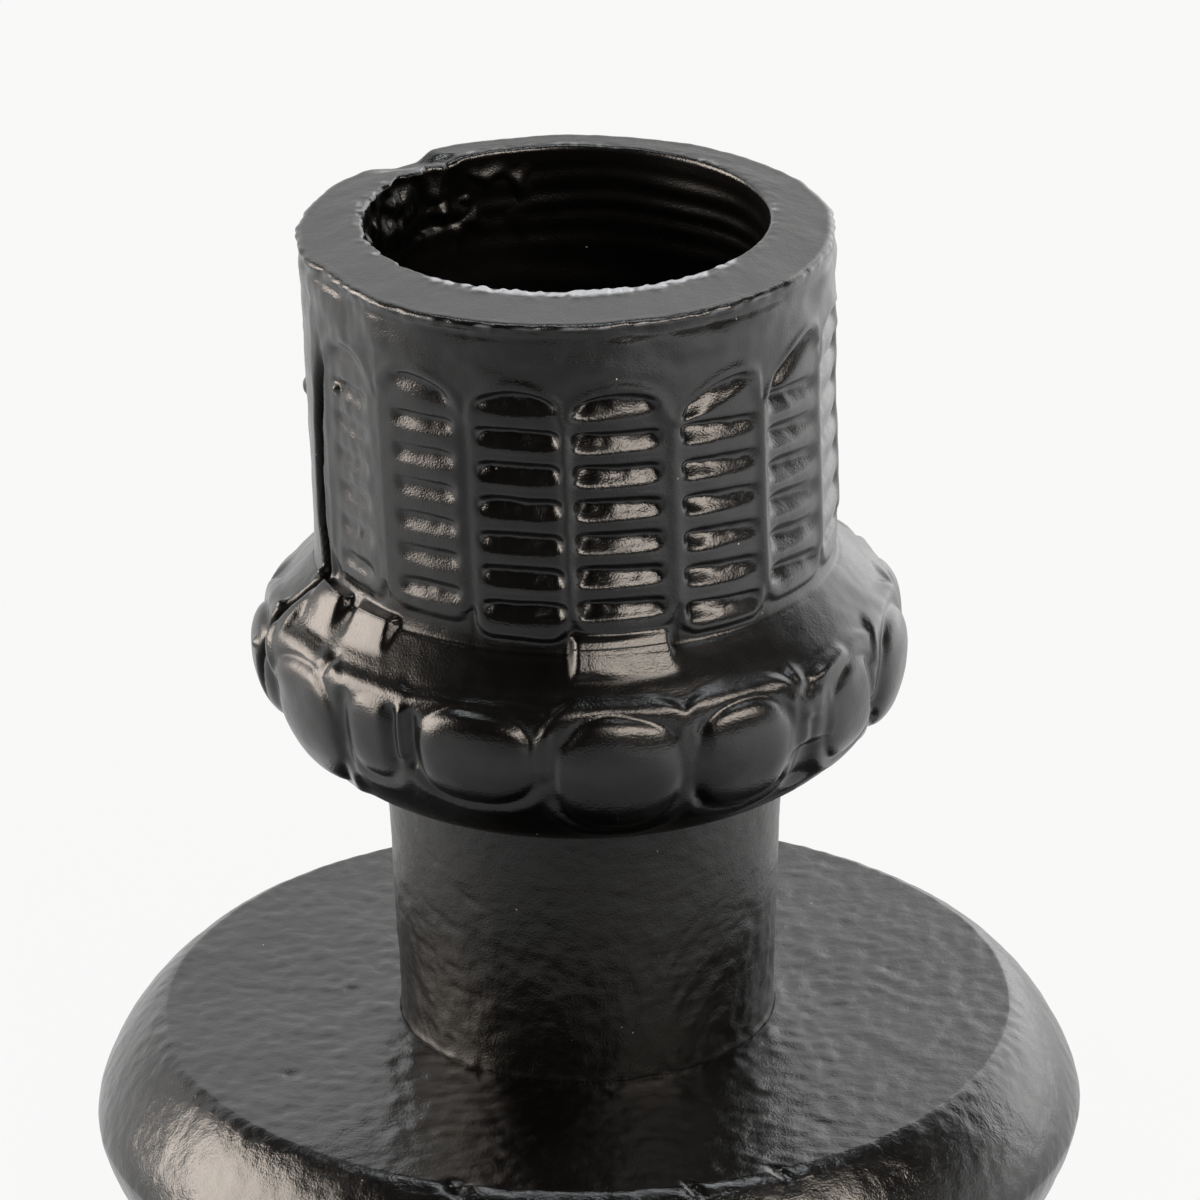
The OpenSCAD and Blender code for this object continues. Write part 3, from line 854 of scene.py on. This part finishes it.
def noiseAt(tree, place, scale, detail, rough, distortion=0.0):
    return node(tree, "TexNoise", Vector=place, Scale=scale, Detail=detail, Roughness=rough,
                Distortion=distortion).outputs["Fac"]


def maths(tree, operation, *values):
    n = node(tree, "Math", operation=operation)
    for place, value in zip(n.inputs, values):
        if isinstance(value, bpy.types.NodeSocket):
            tree.links.new(value, place)
        else:
            place.default_value = value
    return n.outputs[0]


def ramp(tree, value, low, high, a=0.0, b=1.0):
    return node(tree, "MapRange", Value=value, From_Min=low, From_Max=high, To_Min=a,
                To_Max=b).outputs["Result"]


def tintAt(tree, value, low, dark, high, light):
    # one colour up to low, the other from high on
    n = node(tree, "ValToRGB", Fac=value)
    for i, place, colour in ((0, low, dark), (1, high, light)):
        n.color_ramp.elements[i].position = place
        n.color_ramp.elements[i].color = (*colour, 1)
    return n.outputs["Color"]


def overlay(tree, mask, under, colour):
    return node(tree, "MixRGB", Fac=mask, Color1=under, Color2=(*colour, 1)).outputs["Color"]


def bumpOf(tree, height, deep, strength=1.0):
    return node(tree, "Bump", Height=height, Distance=deep, Strength=strength).outputs["Normal"]


def newMaterial(name, **values):
    material = bpy.data.materials.new(name)
    material.use_nodes = True
    tree = material.node_tree
    return material, tree, feed(tree, tree.nodes["Principled BSDF"], **values)


skinSet = {
    "peel": (2.0, 0.45),          # detail and roughness
    # scale per metre, detail and roughness of the other noises
    "tooth": (9000.0, 1.0, 0.5),
    "fine": (4200.0, 2.0, 0.55),
    "cloud": (160.0, 4.0, 0.6),
    "toothHigh": 0.42,
    "fineHigh": 0.16,
    "pitScale": 1500.0,
    "pitR": 0.28,                 # of a cell, where each has one pit
}

dustSet = {
    "scale": 620.0,               # cells per metre, of which some hold a speck
    "edge": (0.036, 0.016),       # where a speck fades in
    "uneven": 1.6,
}


def makePaintSkin(s):
    # height of brushed-out paint over a casting: soft orange peel and a fine tooth
    tree, given, out = group("paint skin", [("Peel", 1.0), ("Peel size", 900.0), ("Tooth", 1.0),
                                            ("Pits", 0.0)], ["Height", "Cloud"])
    place = placeOf(tree)
    peel = noiseAt(tree, place, given.outputs["Peel size"], *s["peel"])
    tooth = maths(tree, "MULTIPLY", noiseAt(tree, place, *s["tooth"]), s["toothHigh"])
    fine = maths(tree, "MULTIPLY", noiseAt(tree, place, *s["fine"]), s["fineHigh"])
    cells = node(tree, "TexVoronoi", Vector=place, Scale=s["pitScale"], Randomness=1.0)
    pits = ramp(tree, cells.outputs["Distance"], 0.0, s["pitR"], -1.0, 0.0)
    high = maths(tree, "MULTIPLY", peel, given.outputs["Peel"])
    for part, label in ((maths(tree, "ADD", tooth, fine), "Tooth"), (pits, "Pits")):
        high = maths(tree, "ADD", high, maths(tree, "MULTIPLY", part, given.outputs[label]))
    feed(tree, out, Height=high, Cloud=noiseAt(tree, place, *s["cloud"]))
    return tree


def makeDust(s):
    # lone pale specks
    tree, given, out = group("dust specks", [("Amount", 0.5)], ["Speck"])
    cells = node(tree, "TexVoronoi", Vector=placeOf(tree), Scale=s["scale"], Randomness=1.0)
    near = ramp(tree, cells.outputs["Distance"], *s["edge"])
    pick = node(tree, "SeparateColor", Color=cells.outputs["Color"])
    chosen = maths(tree, "LESS_THAN", pick.outputs["Red"], given.outputs["Amount"])
    bright = maths(tree, "POWER", pick.outputs["Green"], s["uneven"])
    speck = maths(tree, "MULTIPLY", maths(tree, "MULTIPLY", near, chosen), bright)
    feed(tree, out, Speck=speck)
    return tree


paintSkin = makePaintSkin(skinSet)
dustSpecks = makeDust(dustSet)

paintSet = {
    "dark": (0.0005, 0.0005, 0.0005),
    "light": (0.0018, 0.0016, 0.0015),
    "dust": (0.5, 0.47, 0.42),
    "metalAndGlint": (0.28, 0.3, 0.335),
    "uneven": (-0.04, 0.06),      # of the roughness
    "dullGloss": 0.08,            # where the hollow mask is full
    "dullRough": 0.12,
}

# heights of the peel, tooth and pits; scale of the peel per metre; roughness and gloss; height
# of the whole in metres; share of the dust's cells that hold a speck; brown in the colour
socketCoat = {"Peel": 0.5, "Peel size": 700.0, "Tooth": 1.0, "Pits": 0.0, "rough": 0.24,
              "gloss": 0.5, "deep": 0.00004, "dust": 0.5, "warm": 0.0}
neckCoat = {"Peel": 0.6, "Peel size": 1300.0, "Tooth": 1.0, "Pits": 0.1, "rough": 0.33,
            "gloss": 0.42, "deep": 0.00005, "dust": 0.8, "warm": 0.001}
footCoat = {"Peel": 1.0, "Peel size": 1100.0, "Tooth": 0.7, "Pits": 0.0, "rough": 0.22,
            "gloss": 0.5, "deep": 0.00006, "dust": 0.5, "warm": 0.0}


def blackPaint(name, coat, s, masked=False):
    # gloss black over cast iron; mesh masks show bare metal and painted highlights, take gloss away
    material, tree, shader = newMaterial(name, IOR=1.5, Specular_IOR_Level=coat["gloss"])
    skin = node(tree, "Group", node_tree=paintSkin, Peel=coat["Peel"], Tooth=coat["Tooth"],
                Peel_size=coat["Peel size"], Pits=coat["Pits"])
    specks = node(tree, "Group", node_tree=dustSpecks, Amount=coat["dust"])
    red, green, blue = s["light"]
    light = (red + coat["warm"], green + coat["warm"] * 0.6, blue)
    cloud = skin.outputs["Cloud"]
    base = tintAt(tree, cloud, 0.0, s["dark"], 1.0, light)
    base = overlay(tree, specks.outputs["Speck"], base, s["dust"])
    low, high = s["uneven"]
    rough = ramp(tree, cloud, 0.3, 0.75, coat["rough"] + low, coat["rough"] + high)
    if masked:
        # pale colour of chipped paint, also laid on as a painted highlight
        chipsAndGlint = node(tree, "Attribute", attribute_name="chipsAndGlint").outputs["Fac"]
        base = overlay(tree, chipsAndGlint, base, s["metalAndGlint"])
        # less gloss in the bore, and painted shade in the slit, the cove and the slots' upper edges
        hollow = node(tree, "Attribute", attribute_name="hollow").outputs["Fac"]
        gloss = ramp(tree, hollow, 0.0, 1.0, coat["gloss"], s["dullGloss"])
        feed(tree, shader, Specular_IOR_Level=gloss)
        rough = maths(tree, "ADD", rough, maths(tree, "MULTIPLY", hollow, s["dullRough"]))
    lump = bumpOf(tree, skin.outputs["Height"], coat["deep"])
    feed(tree, shader, Base_Color=base, Roughness=rough, Normal=lump)
    return material


def dress(piece, material, body="root", replaced=()):
    piece.data.materials.clear()
    piece.data.materials.append(material)
    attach(piece, body)
    if replaced:
        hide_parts(*replaced)


socketPaint = blackPaint("socket paint", socketCoat, paintSet, masked=True)
neckPaint = blackPaint("neck paint", neckCoat, paintSet)
footPaint = blackPaint("foot paint", footCoat, paintSet)

socket = buildSocket(socketSet)
dress(socket, socketPaint, replaced=["candle_socket"])
neck = buildNeck(neckSet)
dress(neck, neckPaint, replaced=["neck_tube"])
foot = buildFoot(footSet)
dress(foot, footPaint, replaced=["foot"])
print("castings are dressed")


# Hardware inside and felt underneath: the frame's own shapes

def zincPlate(name, grey, rough):
    # zinc over turned steel: faint rings round the axis and a cloudy sheen
    material, tree, shader = newMaterial(name, Metallic=1.0)
    place = placeOf(tree)
    rings = node(tree, "TexWave", wave_type="RINGS", rings_direction="Z", Vector=place,
                 Scale=900.0, Distortion=1.5).outputs["Fac"]
    cloud = noiseAt(tree, place, 400.0, 3.0, 0.6)
    dark, light = (grey * 0.8, grey * 0.82, grey * 0.86), (grey, grey, grey * 0.97)
    feed(tree, shader, Base_Color=tintAt(tree, cloud, 0.3, dark, 0.7, light),
         Roughness=ramp(tree, cloud, 0.3, 0.7, rough, rough + 0.12),
         Normal=bumpOf(tree, rings, 0.00002, 0.5))
    return material


def pressedFelt(name):
    # dark green-black felt: tangled fibres and paler fluff
    material, tree, shader = newMaterial(name, Roughness=0.95, Specular_IOR_Level=0.1,
                                         Sheen_Weight=0.35, Sheen_Roughness=0.6)
    place = placeOf(tree)
    fibres = noiseAt(tree, place, 2600.0, 4.0, 0.7, 2.5)
    patches = noiseAt(tree, place, 260.0, 3.0, 0.6)
    fluff = maths(tree, "MULTIPLY_ADD", patches, 0.35, maths(tree, "MULTIPLY", fibres, 0.75))
    tint = tintAt(tree, fluff, 0.35, (0.008, 0.010, 0.008), 0.75, (0.045, 0.052, 0.045))
    feed(tree, shader, Base_Color=tint, Normal=bumpOf(tree, fibres, 0.00012))
    return material


plate = zincPlate("zinc plate", 0.62, 0.26)
darkPlate = zincPlate("dark zinc plate", 0.45, 0.32)
for name, finish in (("tie_rod", plate), ("flat_washer", plate), ("spring_washer", darkPlate),
                     ("hex_nut", plate), ("felt_pad", pressedFelt("pressed felt"))):
    for place in frame["nodes"][name].material_slots:
        place.material = finish
print("hardware and felt are dressed")


# Studio

studioSet = {
    "lens": 270.0,
    "sensor": 36.0,
    "eye": (-0.6, -462.6, rimTop + 176.2),
    "pitch": 23.23,
    "yaw": 0.2,
    "roll": -0.78,
    "world": (0.02, 0.02, 0.02),
    # metres: the lights' aim above the floor, and the paper's half width, front, back, height
    # and the radius of its curve
    "aim": 0.035,
    "sweep": (1.6, -1.5, 0.75, 0.9, 0.25),
    # azimuth and elevation, distance, width, height, strength and colour of each light
    "lights": {"left box": (-92, 16.5, 0.8, 0.66, 0.52, 11.0, (1.0, 0.89, 0.79)),
               "right top box": (41, 37, 0.85, 0.74, 0.31, 12.0, (1.0, 0.89, 0.785)),
               "overhead strip": (170, 80, 0.8, 0.7, 0.13, 9.0, (0.93, 0.97, 1.0)),
               "right board": (115, 8, 1.2, 1.6, 0.45, 1.1, (1.0, 0.99, 0.98))},
}

paperSet = {
    "colour": (0.01, 0.01, 0.01),
    "light": (1, 0.998, 0.995),
    "glow": 0.93,
    # painted shade that lessens the glow, each as a part of it and the runs along which it sets in:
    # in front, and as a painted shadow close to the foot, where it also sets in towards the axis
    "frontDim": (0.48, ("Y", -0.04, -0.12), ("X", 0.1, 0.02)),
    "shade": (0.55, ("Y", -0.012, -0.035)),
    "shadeRun": (0.07, 0.045),
    # painted light added: at the left, right and rear right, and high up, which only the rim
    # mirrors
    "added": [(0.3, ("X", -0.07, -0.15), ("X", -0.5, -0.3)), (0.8, ("X", 0.05, 0.13)),
              (1.0, ("X", 0.12, 0.3), ("Y", 0.0, 0.08)), (0.2, ("Z", 0.33, 0.38))],
}


def lookFrom(s):
    camera = bpy.data.objects.new("camera", bpy.data.cameras.new("camera"))
    camera.data.lens = s["lens"]
    camera.data.sensor_width = s["sensor"]
    camera.data.clip_start = 0.01
    camera.data.clip_end = 20.0
    turn = (Matrix.Rotation(math.radians(-s["yaw"]), 4, "Z")
            @ Matrix.Rotation(math.radians(90 - s["pitch"]), 4, "X")
            @ Matrix.Rotation(math.radians(s["roll"]), 4, "Z"))
    camera.matrix_world = Matrix.Translation(Vector(s["eye"]) * mm) @ turn
    bpy.context.scene.collection.objects.link(camera)
    bpy.context.scene.camera = camera


def softbox(name, aim, azimuth, elevation, distance, width, height, strength, tint):
    light = bpy.data.objects.new(name, bpy.data.lights.new(name, "AREA"))
    light.data.shape = "RECTANGLE"
    light.data.size = width
    light.data.size_y = height
    light.data.energy = strength * width * height * math.pi
    light.data.color = tint
    a, e = math.radians(azimuth), math.radians(elevation)
    away = Vector((math.sin(a) * math.cos(e), -math.cos(a) * math.cos(e), math.sin(e)))
    light.location = Vector((0, 0, aim)) + away * distance
    light.rotation_euler = away.to_track_quat("Z", "Y").to_euler()
    bpy.context.scene.collection.objects.link(light)


def levelAlong(tree, place, level, *runs):
    # that level where all the runs are full: each goes from 0 to 1 between places on one axis
    for axis, low, high in runs:
        level = maths(tree, "MULTIPLY", ramp(tree, place.outputs[axis], low, high), level)
    return level


def paper(name, s):
    # glowing paper: even behind the object, painted shade in front and painted light to the sides
    material, tree, shader = newMaterial(
        name, Base_Color=(*s["colour"], 1), Roughness=0.85, Specular_IOR_Level=0.0,
        Emission_Color=(*s["light"], 1))
    at = placeOf(tree)
    place = node(tree, "SeparateXYZ", Vector=at)
    away = node(tree, "VectorMath", operation="LENGTH", Vector=at).outputs["Value"]
    close = ramp(tree, away, *s["shadeRun"])
    glow = s["glow"]
    for dim in (levelAlong(tree, place, *s["frontDim"]),
                maths(tree, "MULTIPLY", levelAlong(tree, place, *s["shade"]), close)):
        glow = maths(tree, "MULTIPLY", maths(tree, "SUBTRACT", 1.0, dim), glow)
    for more in s["added"]:
        glow = maths(tree, "ADD", glow, levelAlong(tree, place, *more))
    feed(tree, shader, Emission_Strength=glow)
    return material


def buildSweep(s):
    # pale paper: floor, curve and wall in one sheet
    wide, front, back, high, bend = s["sweep"]
    line = [(front, 0.0), (back - bend, 0.0)]
    line += [(back - bend + bend * math.sin(t), bend - bend * math.cos(t))
             for t in np.linspace(0.1, math.pi / 2, 12)]
    line += [(back, high)]
    vertices = [(x, y, z) for y, z in line for x in (-wide, wide)]
    faces = [(2 * i, 2 * i + 1, 2 * i + 3, 2 * i + 2) for i in range(len(line) - 1)]
    mesh = bpy.data.meshes.new("paper_sweep")
    mesh.from_pydata(vertices, [], faces)
    mesh.polygons.foreach_set("use_smooth", [True] * len(faces))
    sweep = bpy.data.objects.new("paper_sweep", mesh)
    sweep.data.materials.append(paper("pale paper", paperSet))
    bpy.context.scene.collection.objects.link(sweep)


def lightStudio(s):
    world = bpy.data.worlds.new("studio")
    bpy.context.scene.world = world
    world.use_nodes = True
    backdrop = world.node_tree.nodes["Background"]
    backdrop.inputs["Color"].default_value = (*s["world"], 1)
    backdrop.inputs["Strength"].default_value = 1.0
    for name, values in s["lights"].items():
        softbox(name, s["aim"], *values)
    bpy.context.scene.view_settings.view_transform = "Standard"


lookFrom(studioSet)
buildSweep(studioSet)
lightStudio(studioSet)
print("studio is lit")
